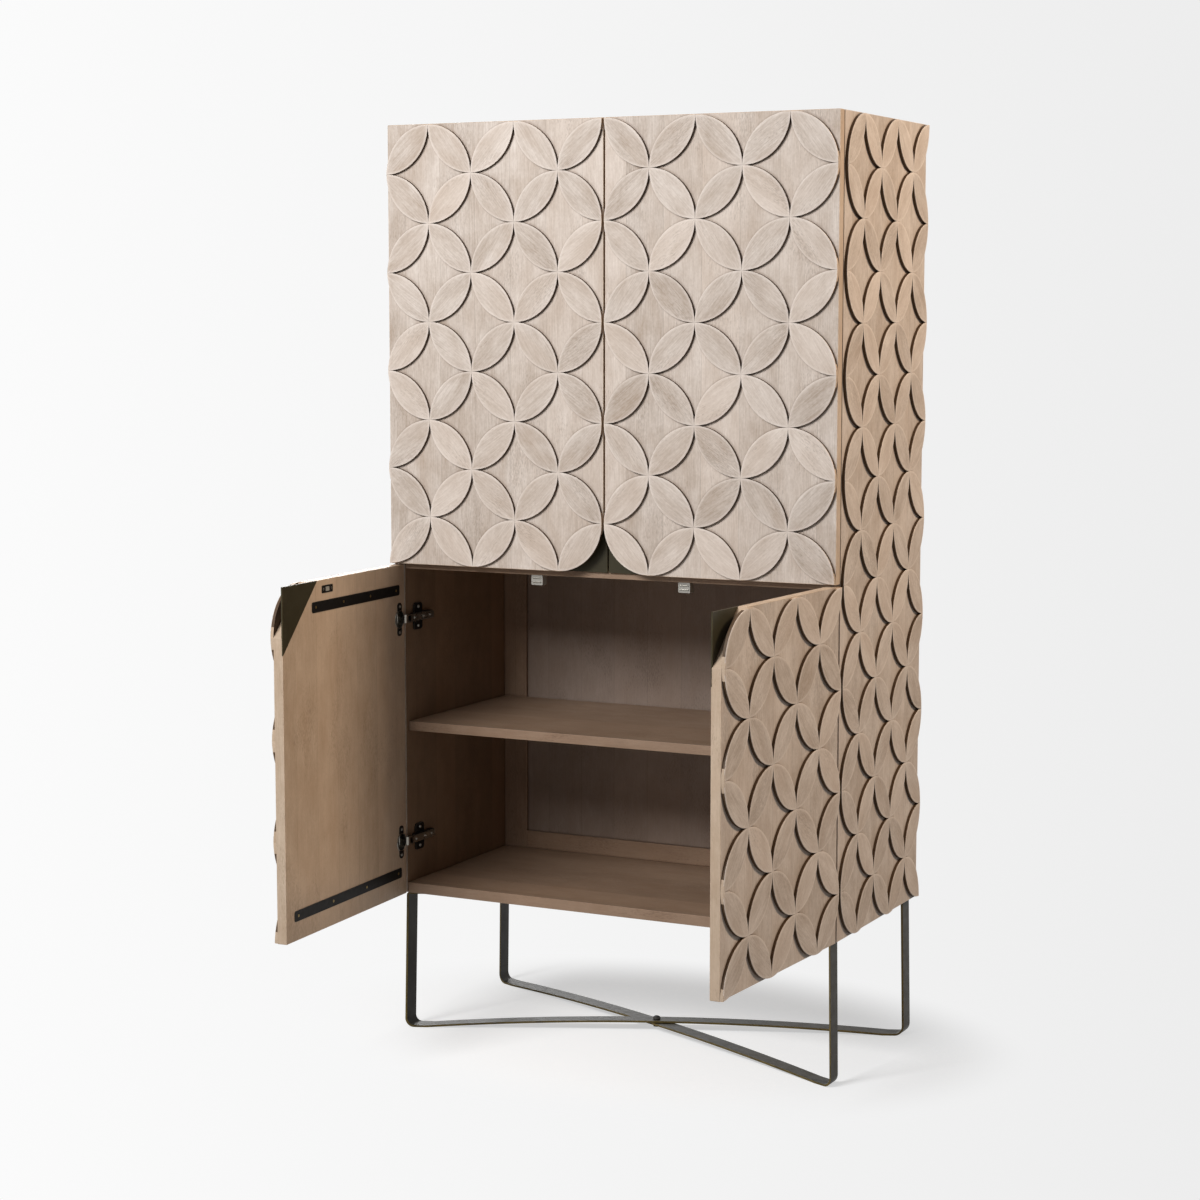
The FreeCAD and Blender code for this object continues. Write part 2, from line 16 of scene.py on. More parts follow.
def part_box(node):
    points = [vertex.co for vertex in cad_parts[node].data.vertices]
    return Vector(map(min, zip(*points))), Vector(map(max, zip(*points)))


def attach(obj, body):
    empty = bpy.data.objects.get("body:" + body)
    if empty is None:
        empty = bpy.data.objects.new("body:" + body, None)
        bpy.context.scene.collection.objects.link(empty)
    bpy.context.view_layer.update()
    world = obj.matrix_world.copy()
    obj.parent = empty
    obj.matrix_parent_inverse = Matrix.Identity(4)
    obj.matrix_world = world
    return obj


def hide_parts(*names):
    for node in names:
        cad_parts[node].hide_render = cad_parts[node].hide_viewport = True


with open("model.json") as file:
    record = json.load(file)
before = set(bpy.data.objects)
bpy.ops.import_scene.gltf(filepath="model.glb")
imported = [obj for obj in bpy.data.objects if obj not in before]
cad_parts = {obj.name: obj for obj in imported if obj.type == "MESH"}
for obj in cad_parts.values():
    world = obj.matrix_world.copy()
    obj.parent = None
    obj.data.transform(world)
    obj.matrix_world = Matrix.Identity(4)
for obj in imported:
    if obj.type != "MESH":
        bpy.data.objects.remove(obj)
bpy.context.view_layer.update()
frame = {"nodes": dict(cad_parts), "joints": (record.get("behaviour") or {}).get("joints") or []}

bl_info = {
    "name": "Petal relief cabinet",
    "version": (1, 0, 0),
    "blender": (4, 5, 0),
    "location": "3D View > Sidebar > Cabinet",
    "description": "Dresses a two-tier cabinet: petal relief, boards, hinges, catches and a bent bar base",
    "category": "Object",
}

MM = 0.001
HANDS = {"left": 1, "right": -1}
TIERS = ("lower", "upper")
COLUMNS = 5  # petals across a door or a side
JOINTS = {joint["child"]: joint for joint in frame["joints"]}
WELD = 0.01 * MM  # points nearer than this are one
STAVE = 75 * MM  # width of a glued stave
CORNER_SHARE = 1.3  # a board's corner radius over the ease of its edges
SMOOTH_ANGLE = math.radians(36)
VIEWPOINT = 2.115, -4.441, 1.399  # where the camera stands
ALONG_U, ALONG_V = 0.0, math.pi / 2  # the way a board's grain runs in its drawing plane


def linear(code):
    """An sRGB hex colour as linear red, green, blue and alpha."""
    shares = [int(code[k:k + 2], 16) / 255 for k in (1, 3, 5)]
    return [c / 12.92 if c <= 0.04045 else ((c + 0.055) / 1.055) ** 2.4 for c in shares] + [1.0]


def colour(code, name, description):
    return FloatVectorProperty(name=name, description=description, subtype="COLOR", size=4, min=0, max=1,
                               default=linear(code))


def length(amount, name, description):
    return FloatProperty(name=name, description=description, default=amount * MM, min=0, unit="LENGTH",
                         precision=5)


def power(amount, name, description):
    return FloatProperty(name=name, description=description, default=amount, min=0, unit="POWER")


class TimberSettings(bpy.types.PropertyGroup):
    """Finish of the boards and petals."""
    bleached_pale: colour("#e2d7ce", "Bleached, pale", "Palest fibres of the bleached outer finish")
    bleached_dark: colour("#a99889", "Bleached, dark", "Darkest fibres of the bleached outer finish")
    brown_pale: colour("#a68d78", "Brown, pale", "Palest fibres on shelves and inner walls")
    brown_dark: colour("#7c6451", "Brown, dark", "Darkest fibres on shelves and inner walls")
    door_back_pale: colour("#d6c1ab", "Door back, pale", "Palest fibres on the doors' inner faces")
    door_back_dark: colour("#ab947d", "Door back, dark", "Darkest fibres on the doors' inner faces")
    greyed_pale: colour("#9e8e83", "Greyed, pale", "Palest fibres on the back panels")
    greyed_dark: colour("#7d6d62", "Greyed, dark", "Darkest fibres on the back panels")
    # The petals' cut edges are dark partly from an umber glaze and partly as painted shade.
    glaze: colour("#5a442e", "Glaze", "Umber glaze on the petals' cut edges")
    ease: length(1.0, "Board ease", "Radius that the boards' edges are eased to")
    petal_ease: length(1.1, "Petal ease", "Radius that the petals' upper edges are eased to")
    # The petals' pale rim is partly rubbed wear and partly a painted highlight.
    petal_fade: length(4.0, "Rim width", "Width of the paler rim where the petals are rubbed")
    grain_wander: FloatProperty(name="Grain wander", subtype="ANGLE", default=math.radians(12), min=0,
                                description="How far a petal's grain may turn from the petal's own length")
    arc_steps: IntProperty(name="Arc steps", description="Straight steps in each of a petal's two arcs",
                           default=14, min=4)


class MetalSettings(bpy.types.PropertyGroup):
    """Finish of the bars, plates, straps and hinges."""
    bar: colour("#2a251a", "Bar", "Dark bronze lacquer on the bars")
    worn: colour("#857345", "Worn edge", "Bronze that shows where the lacquer is rubbed")
    plate: colour("#383323", "Pull plate", "Olive bronze of the finger pulls")
    black: colour("#141210", "Black steel", "Blackened steel of straps, flanges and the bolt")
    nickel: colour("#96928a", "Nickel", "Nickel plate of the hinge arms")
    brass: colour("#a08a58", "Brass", "Brass of the strap screws")
    plastic: colour("#a3a099", "Catch body", "Grey plastic of the magnetic catches")
    ease: length(0.5, "Metal ease", "Radius that metal edges are eased to")


class StudioSettings(bpy.types.PropertyGroup):
    """Light, backdrop and camera."""
    backdrop_left: colour("#fbfbfb", "Backdrop left", "Backdrop at the picture's left edge")
    backdrop_right: colour("#ededed", "Backdrop right", "Backdrop at the picture's right edge")
    key_power: power(122, "Key light", "Soft main light from above the front")
    fill_power: power(78, "Fill light", "Warm soft light from the right")
    back_power: power(75, "Back light", "Soft light on the back and the left side")
    fill_tint: colour("#ffe9d0", "Fill tint", "Colour of the fill light")
    ambient: FloatProperty(name="Ambient", description="Even light from all around", default=0.08, min=0)
    lens: FloatProperty(name="Focal length", description="Camera's focal length in millimetres",
                        default=77.2, min=1, unit="CAMERA")


# Materials

def add(tree, kind, links=None, out=0, **settings):
    """Adds a shader node with its settings, sets or links its inputs, and gives one of its outputs."""
    node = tree.nodes.new(f"ShaderNode{kind}")
    for key, value in settings.items():
        setattr(node, key, value)
    for socket, value in (links or {}).items():
        if isinstance(value, bpy.types.NodeSocket):
            tree.links.new(value, node.inputs[socket])
        else:
            node.inputs[socket].default_value = value
    return node.outputs[out]


def material(name):
    """A new material with its node tree and surface shader."""
    made = bpy.data.materials.new(name)
    made.use_nodes = True
    return made, made.node_tree, made.node_tree.nodes["Principled BSDF"]


MIX_A, MIX_B, MIX_RESULT = 6, 7, 2  # sockets of a colour mix
# Each mark's length along the grain and width across it in millimetres, and how many finer octaves it has.
# The real fibres are finer than a picture shows, so they are drawn 2 mm wide.
TIMBER_MARKS = {
    "fibre": (40, 2.0, 3.0), "figure": (260, 18, 2.0), "mottle": (42, 24, 3.0), "cloud": (150, 90, 2.0),
    "speckle": (6, 3.5, 2.0), "patch": (110, 55, 2.0), "pore": (7, 1.5, 1.0), "field": (160, 70, 1.0)}
TONE_SHARES = {"fibre": 0.28, "figure": 0.1, "mottle": 0.22, "cloud": 0.24, "speckle": 0.16}


def tinted(base, *shares):
    """A colour with its red, green and blue each taken down to a share."""
    return [c * k for c, k in zip(base, shares)] + [1.0]


def lay(tree, surface, tone, pattern, roughness, bump, depth, gloss_level):
    """Gives a surface its tone, and a gloss and a fine bump that both follow one pattern."""
    sway = 0.06
    gloss = add(tree, "MapRange", {0: pattern, 1: 0.3, 2: 0.7, 3: roughness - sway, 4: roughness + sway})
    normal = add(tree, "Bump", {"Height": pattern, "Strength": bump, "Distance": depth})
    for name, value in (("Base Color", tone), ("Roughness", gloss), ("Normal", normal)):
        tree.links.new(value, surface.inputs[name])
    surface.inputs["Specular IOR Level"].default_value = gloss_level


def timber(name, pale, dark, wear_and_highlight, contrast, roughness, painted_corner_shade):
    """Open-grained hardwood in glued staves under a thin matt finish.

    The eye sees fine fibre streaks, faint bands of figure, cloudy stain with browner patches, short dark
    pores that come and go, staves of slightly different tone and warmth with a thin joint between them,
    paler wood along the edges, partly rubbed wear and partly a painted highlight, and brown painted shade
    in corners.
    """
    made, tree, surface = material(name)
    place = add(tree, "Attribute", out="Vector", attribute_name="timber")
    rim = add(tree, "Attribute", out="Fac", attribute_name="rim")
    marks = {}
    for mark, (long, wide, detail) in TIMBER_MARKS.items():
        scale = 1000 / long, 1000 / wide, 1000 / wide
        spread = add(tree, "VectorMath", {0: place, 1: scale}, operation="MULTIPLY")
        marks[mark] = add(tree, "TexNoise", {"Vector": spread, "Scale": 1.0, "Detail": detail,
                                             "Roughness": 0.6, "Distortion": 0.3}, "Fac")
    across = add(tree, "SeparateXYZ", {0: place}, "Y")
    staves = add(tree, "Math", {0: across, 1: STAVE}, operation="DIVIDE")
    stave = add(tree, "Math", {0: staves}, operation="FLOOR")
    from_joint = add(tree, "Math", {0: staves, 1: 0.5}, operation="PINGPONG")
    chance = add(tree, "TexWhiteNoise", {"W": stave}, "Value", noise_dimensions="1D")
    stave_swing = 0.25 * contrast
    tone = add(tree, "MapRange", {0: chance, 3: -stave_swing, 4: stave_swing})
    for mark, weight in TONE_SHARES.items():
        tone = add(tree, "Math", {0: marks[mark], 1: weight, 2: tone}, operation="MULTIPLY_ADD")
    share = add(tree, "MapRange", {0: tone, 1: 0.5 - contrast, 2: 0.5 + contrast})
    shade = add(tree, "Mix", {0: share, MIX_A: dark, MIX_B: pale}, MIX_RESULT, data_type="RGBA")
    pores = add(tree, "Math", {0: marks["pore"], 1: marks["field"]}, operation="MULTIPLY")
    # Painted shade: ambient occlusion finds the corners, and the last coat darkens them brown.
    corner = add(tree, "AmbientOcclusion", {"Distance": 5 * MM}, "AO", samples=8)
    # Each coat: what it follows, two values of that, its share at each, and its colour.
    for source, low, high, at_low, at_high, coat in (
            (chance, 0.3, 1.0, 0.0, 0.28, tinted(pale, 0.9, 0.8, 0.71)),
            (marks["patch"], 0.45, 0.75, 0.0, 0.3, tinted(dark, 1.0, 0.9, 0.79)),
            (pores, 0.33, 0.42, 0.0, 0.28, tinted(dark, 0.45, 0.4, 0.35)),
            (from_joint, 0.002, 0.011, 0.25, 0.0, tinted(dark, 0.4, 0.36, 0.32)),
            # Paler rims: partly rubbed wear, partly a painted highlight.
            (rim, 0.0, 1.0, 0.0, 0.5, wear_and_highlight),
            (corner, 0.4, 0.98, painted_corner_shade, 0.0, tinted(dark, 0.45, 0.35, 0.27))):
        share = add(tree, "MapRange", {0: source, 1: low, 2: high, 3: at_low, 4: at_high})
        shade = add(tree, "Mix", {0: share, MIX_A: shade, MIX_B: coat}, MIX_RESULT, data_type="RGBA")
    lay(tree, surface, shade, marks["fibre"], roughness, bump=0.12, depth=0.4 * MM, gloss_level=0.3)
    return made


def lacquered(name, base, worn, roughness, metallic, mottle_mm, worn_share, gloss_level):
    """Smooth metal or plastic under a thin satin coat, slightly mottled and rubbed paler on its edges."""
    made, tree, surface = material(name)
    place = add(tree, "TexCoord", out="Object")
    rim = add(tree, "Attribute", out="Fac", attribute_name="rim")
    mottle = add(tree, "TexNoise", {"Vector": place, "Scale": 1000 / mottle_mm, "Detail": 4.0}, "Fac")
    wear = add(tree, "MapRange", {0: mottle, 1: 0.25, 2: 0.6, 3: 0.4 * worn_share, 4: worn_share})
    wear = add(tree, "Math", {0: wear, 1: rim}, operation="MULTIPLY")
    dim = tinted(base, 0.75, 0.75, 0.75)
    coat = add(tree, "Mix", {0: mottle, MIX_A: dim, MIX_B: base}, MIX_RESULT, data_type="RGBA")
    tone = add(tree, "Mix", {0: wear, MIX_A: coat, MIX_B: worn}, MIX_RESULT, data_type="RGBA")
    lay(tree, surface, tone, mottle, roughness, bump=0.05, depth=0.2 * MM, gloss_level=gloss_level)
    surface.inputs["Metallic"].default_value = metallic
    return made


# Each timber: the settings that hold its tones, the shares they are taken down to, its contrast and
# roughness, the share of brown painted shade in its corners, and how much paler its rims get, partly
# from rubbing and partly as a painted highlight.
# Bleached wood is pale and matt with low contrast; stained wood shows more figure and has a slight sheen.
UNCHANGED = 1.0, 1.0, 1.0
TIMBERS = {
    "bleached_mango": ("bleached", UNCHANGED, 0.15, 0.62, 0.6, 1.12),
    "brown_stained_mango": ("brown", UNCHANGED, 0.24, 0.5, 0.5, 1.0),
    # The sides' inner faces take the brown timber darker, as painted shade for the shade inside the cabinet.
    "dark_stained_mango": ("brown", (0.79, 0.76, 0.69), 0.24, 0.5, 0.5, 1.0),
    "greyed_mango": ("greyed", UNCHANGED, 0.24, 0.5, 0.7, 1.0),
    "thin_stained_mango": ("door_back", UNCHANGED, 0.2, 0.5, 0.5, 1.0),
}
# Each metal or plastic: its tone, the tone of its worn edges, its roughness and metallic, the size of its
# mottle in millimetres, the share of wear on its edges, and its gloss.
# Lacquered steel is dark head-on and mirrors the studio at a low angle; plating mirrors it from all sides.
COATED = {
    "bronze_lacquered_steel": ("bar", "worn", 0.4, 0.0, 18, 0.8, 0.12),
    "olive_bronze_plate": ("plate", "worn", 0.45, 0.0, 30, 0.5, 0.2),
    "blackened_steel": ("black", "nickel", 0.5, 0.0, 12, 0.5, 0.15),
    "nickel_plated_steel": ("nickel", "plastic", 0.3, 1.0, 8, 0.7, 0.5),
    "brass_screw": ("brass", "brass", 0.35, 1.0, 4, 0.8, 0.5),
    "moulded_grey_abs": ("plastic", "plastic", 0.45, 0.0, 3, 0.8, 0.5),
}


def finish(name):
    """A named finish, made when it is first asked for."""
    if name in bpy.data.materials:
        return bpy.data.materials[name]
    wood, metal = bpy.context.scene.cabinet_timber, bpy.context.scene.cabinet_metal
    if name in COATED:
        base, worn, *rest = COATED[name]
        return lacquered(name, list(getattr(metal, base)), list(getattr(metal, worn)), *rest)
    if name == "glazed_edge":
        # The umber on the petals' cut edges is partly a glaze and partly painted shade on walls that stand
        # in shade; it is nearly even and lets the bleached wood through where an edge is rubbed.
        glaze = list(wood.glaze)
        return timber(name, glaze, tinted(glaze, 0.6, 0.6, 0.6), list(wood.bleached_dark), 0.3, 0.6, 0.5)
    settings, shares, contrast, roughness, painted_corner_shade, lift = TIMBERS[name]
    pale, dark = (tinted(getattr(wood, f"{settings}_{tone}"), *shares) for tone in ("pale", "dark"))
    return timber(name, pale, dark, [min(c * lift, 1.0) for c in pale], contrast, roughness, painted_corner_shade)


# Shapes

def swing(body):
    """The turn from a shut door to where it stands at rest, about its hinge pin."""
    if body not in JOINTS:
        return Matrix.Identity(4)
    joint = JOINTS[body]
    pin = Matrix.Translation(joint["pos_m"])
    angle = math.radians(-joint["range_deg"][0]) * joint["axis"][2]
    return pin @ Matrix.Rotation(angle, 4, "Z") @ pin.inverted()


def solid_boxes(node, body="carcass"):
    """Corners of each solid of a CAD node, with its door shut, from the lowest up."""
    mesh = frame["nodes"][node].data
    shut = swing(body).inverted()
    keys = [tuple(round(c / WELD) for c in vertex.co) for vertex in mesh.vertices]
    joined = {key: key for key in keys}

    def root(key):
        while joined[key] != key:
            joined[key] = joined[joined[key]]
            key = joined[key]
        return key

    for face in mesh.polygons:
        first = root(keys[face.vertices[0]])
        for index in face.vertices[1:]:
            joined[root(keys[index])] = first
    solids = {}
    for key, vertex in zip(keys, mesh.vertices):
        solids.setdefault(root(key), []).append(shut @ vertex.co)
    boxes = [tuple(Vector(map(pick, zip(*spots))) for pick in (min, max)) for spots in solids.values()]
    return sorted(boxes, key=lambda box: [round(c, 4) for c in (box[0].z, box[0].x, box[0].y)])


def shut_box(node, body):
    lows, highs = zip(*solid_boxes(node, body))
    return Vector(map(min, zip(*lows))), Vector(map(max, zip(*highs)))


def axes(origin, u, v, w):
    """A drawing plane in the cabinet: where its origin lies, and where its three directions point."""
    columns = [Vector(u), Vector(v), Vector(w)]
    plane = Matrix(columns).transposed().to_4x4()
    return Matrix.Translation(origin) @ plane


def grain(angle, seed, middle=(0.0, 0.0)):
    """From a drawing plane to the timber it is cut from: along the grain, across it, and into it."""
    chance = random.Random(seed)
    # Each board or petal is cut from a spot of its own, in the middle of a stave.
    cut = Vector((chance.uniform(0, 20), (chance.randrange(200) + 0.5) * STAVE, chance.uniform(0, 3)))
    turn = Matrix.Rotation(-angle, 4, "Z")
    return Matrix.Translation(cut) @ turn @ Matrix.Translation((-middle[0], -middle[1], 0))


def rectangle(left, bottom, right, top):
    return [(left, bottom), (right, bottom), (right, top), (left, top)]


def rounded(corners, radius, steps=3):
    """An outline with each corner rounded: one radius, or one for each corner."""
    radii = radius if isinstance(radius, (list, tuple)) else [radius] * len(corners)
    outline = []
    for k, (corner, r) in enumerate(zip(corners, radii)):
        here = Vector(corner)
        before = (Vector(corners[k - 1]) - here).normalized()
        after = (Vector(corners[(k + 1) % len(corners)]) - here).normalized()
        if r <= 0:
            outline.append(here)
            continue
        half = before.angle(after) / 2
        middle = here + (before + after).normalized() * r / math.sin(half)
        start = here + before * r / math.tan(half) - middle
        end = here + after * r / math.tan(half) - middle
        outline += [middle + start.slerp(end, step / steps).normalized() * r for step in range(steps + 1)]
    return outline


def plan(low, high, radius, steps=3):
    """The rounded rectangle that a box fills in its drawing plane."""
    return rounded(rectangle(low.x, low.y, high.x, high.y), radius, steps)


def disc(u, v, radius, sides=32):
    turns = [2 * math.pi * k / sides for k in range(sides)]
    return [(u + radius * math.cos(a), v + radius * math.sin(a)) for a in turns]


def drawn_in(outline, inset):
    """An anticlockwise outline moved inwards by an even distance."""
    moved = []
    for k, corner in enumerate(outline):
        here = Vector(corner)
        into = (here - Vector(outline[k - 1])).normalized()
        out = (Vector(outline[(k + 1) % len(outline)]) - here).normalized()
        normals = Vector((-into.y, into.x)), Vector((-out.y, out.x))
        moved.append(here + (normals[0] + normals[1]) * inset / (1 + normals[0].dot(normals[1])))
    return moved


def anticlockwise(outline):
    area = sum(outline[k - 1][0] * here[1] - here[0] * outline[k - 1][1] for k, here in enumerate(outline))
    return list(outline) if area > 0 else list(reversed(outline))


class Stock:
    """One piece in the making: its points and faces, and each point's place in the timber and its pale rim.
    """

    def __init__(self, *finishes):
        self.mesh = bmesh.new()
        self.timber = self.mesh.verts.layers.float_vector.new("timber")
        self.rim = self.mesh.verts.layers.float.new("rim")
        self.finishes = [finish(name) for name in finishes]

    def ring(self, outline, height, place, timber, rim=0.0):
        verts = []
        for u, v in outline:
            spot = Vector((u, v, height))
            vert = self.mesh.verts.new(place @ spot)
            vert[self.timber] = timber @ spot
            vert[self.rim] = rim
            verts.append(vert)
        return verts

    def skin(self, lower, upper, index):
        for k in range(len(lower)):
            face = self.mesh.faces.new((lower[k - 1], lower[k], upper[k], upper[k - 1]))
            face.material_index = index

    def cap(self, rings, index):
        """Closes a ring; further rings are holes in it."""
        if len(rings) == 1:
            self.mesh.faces.new(rings[0]).material_index = index
            return
        edges = [self.mesh.edges.get((ring[k - 1], ring[k])) or self.mesh.edges.new((ring[k - 1], ring[k]))
                 for ring in rings for k in range(len(ring))]
        filled = bmesh.ops.triangle_fill(self.mesh, edges=edges, use_beauty=True)
        for face in filled["geom"]:
            if isinstance(face, bmesh.types.BMFace):
                face.material_index = index

    def prism(self, outline, low, high, place, timber=None, eases=(0.0, 0.0), finishes=(0, 0, 0), fade=0.0,
              end_rim=0.0, pockets=()):
        """A plate of that outline with eased rims, and pockets let into its top.

        eases are its underside's and its top's, finishes its top's, wall's and underside's, fade is the
        width of a pale rim on its top, partly rubbed wear and partly a painted highlight, and end_rim the
        rubbing of its two flat ends.
        """
        timber = timber or Matrix.Identity(4)
        outline = anticlockwise(outline)
        rows = []
        for ease, height, side in ((eases[0], low, 1), (eases[1], high, -1)):
            turns = [0.0, math.pi / 4, math.pi / 2] if ease else [math.pi / 2]
            for a in reversed(turns) if side > 0 else turns:
                # An eased edge is palest halfway round: rubbed wear, and on wood also a painted highlight.
                wear_and_highlight = math.sin(2 * a) if ease else 0.0
                rows.append([ease * (1 - math.cos(a)), height + side * ease * (1 - math.sin(a)), wear_and_highlight])
        rows[0][2] = rows[-1][2] = end_rim
        if fade:
            rim_share = 0.8
            rows[-1][2] = rim_share
            rows.append([eases[1] + fade, high, 0.0])
        rings = [self.ring(drawn_in(outline, inset) if inset else outline, height, place, timber, rim)
                 for inset, height, rim in rows]
        for lower, upper, row in zip(rings, rings[1:], rows[1:]):
            eased = row[1] > high - eases[1] + WELD
            self.skin(lower, upper, finishes[0] if eased else finishes[1])
        self.cap([rings[0]], finishes[2])
        holes = []
        for hole, depth in pockets:
            hole = anticlockwise(hole)
            mouth = self.ring(hole, high, place, timber)
            floor = self.ring(hole, high - depth, place, timber)
            self.skin(mouth, floor, finishes[0])
            self.cap([floor], finishes[0])
            holes.append(mouth)
        self.cap([rings[-1], *holes], finishes[0])

    def turned(self, profile, place, index, sides):
        """A form turned on a lathe: radius and height of each step, from its bottom to its last step."""
        rings = [self.ring(disc(0, 0, radius, sides), height, place, Matrix.Identity(4), rim)
                 for radius, height, rim in profile]
        for lower, upper in zip(rings, rings[1:]):
            self.skin(lower, upper, index)
        self.cap([rings[0]], index)
        self.cap([rings[-1]], index)

    def screw(self, radius, proud, place, index=0):
        """A pan head with a round driver recess."""
        steps = [(radius, -0.4 * MM, 0), (radius, proud * 0.5, 0.3), (radius * 0.8, proud, 1.0),
                 (radius * 0.42, proud, 0.2), (radius * 0.3, proud - radius * 0.35, 0)]
        self.turned(steps, place, index, 16)

    def piece(self, name, body, slot, *nodes):
        """The finished piece, turned to rest, that rides on a body and stands for these CAD nodes."""
        bmesh.ops.recalc_face_normals(self.mesh, faces=self.mesh.faces)
        data = bpy.data.meshes.new(name)
        self.mesh.to_mesh(data)
        self.mesh.free()
        data.transform(swing(body))
        for made in self.finishes:
            data.materials.append(made)
        data.shade_smooth()
        data.set_sharp_from_angle(angle=SMOOTH_ANGLE)
        made = bpy.data.objects.new(name, data)
        bpy.context.scene.collection.objects.link(made)
        made.modifiers.new("even shading", "WEIGHTED_NORMAL").keep_sharp = True
        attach(made, body)
        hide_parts(*nodes)


def door_rows(tier):
    low, high = shut_box(f"left_{tier}_petals", f"left_{tier}_door")
    return round((high.z - low.z) / (high.x - low.x) * COLUMNS)


def doors():
    """Each door's name, tier, body, drawing plane (across from its hinge edge, up, inwards) and size."""
    for tier in TIERS:
        for hand, across in HANDS.items():
            door, body = f"{hand}_{tier}", f"{hand}_{tier}_door"
            low, high = shut_box(f"{door}_core", body)
            edge = low.x if across > 0 else high.x
            plane = axes((edge, low.y, low.z), (across, 0, 0), (0, 0, 1), (0, 1, 0))
            yield door, tier, body, plane, high - low


def in_plane(plane, box):
    """A box's lowest and highest corner within a drawing plane."""
    ends = [plane.inverted() @ corner for corner in box]
    return tuple(Vector(map(pick, *ends)) for pick in (min, max))


def petal(stock, cell, rising, place, seed):
    """One flat petal in its cell: two quarter arcs between opposite corners, pale along its rim from rubbed
    wear and a painted highlight.
    """
    wood = bpy.context.scene.cabinet_timber
    left, bottom, right, top, thickness = cell
    turns = [math.pi / 2 * k / wood.arc_steps for k in range(wood.arc_steps)]
    arc = [(1 - math.cos(a), math.sin(a)) for a in turns]
    shares = arc + [(1 - u, 1 - v) for u, v in arc]
    wide, tall = right - left, top - bottom
    outline = [(left + wide * (u if rising else 1 - u), bottom + tall * v) for u, v in shares]
    chance = random.Random(seed)
    angle = math.atan2(tall, wide) + chance.uniform(-wood.grain_wander, wood.grain_wander)
    cut = grain(angle if rising else math.pi - angle, seed, ((left + right) / 2, (bottom + top) / 2))
    stock.prism(outline, 0.0, thickness, place, cut, (0.0, wood.petal_ease), (0, 1, 1), wood.petal_fade)


def relief(name, body, place, box, rows, first_rises, planed, node):
    """A field of petals in a grid of cells, turned one way and the other by turns, with tips that meet."""
    low, high = box
    stock = Stock("bleached_mango", "glazed_edge", "thin_stained_mango")
    gap, lap, flush = 0.4 * MM, 0.3 * MM, 1.5 * MM
    pitch = (high.x - low.x + 2 * gap) / COLUMNS, (high.y - low.y + 2 * gap) / rows
    for column in range(COLUMNS):
        for row in range(rows):
            left, bottom = low.x - gap + column * pitch[0], low.y - gap + row * pitch[1]
            cell = (max(left - lap, low.x), max(bottom - lap, low.y), min(left + pitch[0] + lap, high.x),
                    min(bottom + pitch[1] + lap, high.y), high.z - low.z)
            rising = ((column + row) % 2 == 0) == first_rises
            petal(stock, cell, rising, place @ Matrix.Translation((0, 0, low.z)), f"{name} {column} {row}")
    # Petals planed flush at the board's edges show thinly stained wood there, and not the glaze and painted
    # shade of their other cut edges.
    for face in stock.mesh.faces if planed else ():
        spot = place.inverted() @ face.calc_center_median()
        if min(spot.x - low.x, high.x - spot.x, spot.y - low.y, high.y - spot.y) < flush:
            face.material_index = 2
    stock.piece(name, body, "petal_wood", node)


class PetalRelief(bpy.types.Operator):
    """Lay the petals on the doors and sides"""
    bl_idname = "cabinet.petal_relief"
    bl_label = "Petal relief"

    def execute(self, context):
        for door, tier, body, plane, _ in doors():
            place = plane @ Matrix.Scale(-1, 4, (0, 0, 1))
            node = f"{door}_petals"
            box = in_plane(place, shut_box(node, body))
            relief(f"{body}_relief", body, place, box, door_rows(tier), tier == "upper", True, node)
        for hand, inward in HANDS.items():
            low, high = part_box(f"{hand}_side_panel")
            face = low.x if inward > 0 else high.x
            place = axes((face, low.y, low.z), (0, 1, 0), (0, 0, 1), (-inward, 0, 0))
            node = f"{hand}_side_petals"
            box = in_plane(place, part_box(node))
            rows = sum(map(door_rows, TIERS))
            relief(f"{hand}_side_relief", "carcass", place, box, rows, False, False, node)
        return {"FINISHED"}


class DoorBoards(bpy.types.Operator):
    """Make the four doors' glued boards, with a cut corner at the pull and pockets for the hinge cups"""
    bl_idname = "cabinet.door_boards"
    bl_label = "Door boards"

    def execute(self, context):
        ease = context.scene.cabinet_timber.ease
        for door, tier, body, plane, size in doors():
            wide, thick, tall = size
            cell = wide / COLUMNS
            corners = rectangle(0, 0, wide, tall)
            if tier == "lower":
                corners[2:3] = [(wide, tall - cell), (wide - cell, tall)]
            else:
                corners[1:2] = [(wide - cell, 0), (wide, cell)]
            pockets = []
            for box in solid_boxes(f"{door}_hinge_cups", body):
                low, high = in_plane(plane, box)
                middle = (low + high) / 2
                pockets.append((disc(middle.x, middle.y, (high.x - low.x) / 2), thick - low.z))
            stock = Stock("thin_stained_mango", "bleached_mango")
            stock.prism(rounded(corners, CORNER_SHARE * ease), 0.0, thick, plane, grain(ALONG_V, body),
                        (ease, ease), (0, 0, 1), pockets=pockets)
            stock.piece(f"{body}_board", body, "door_boards", f"{door}_core")
        return {"FINISHED"}


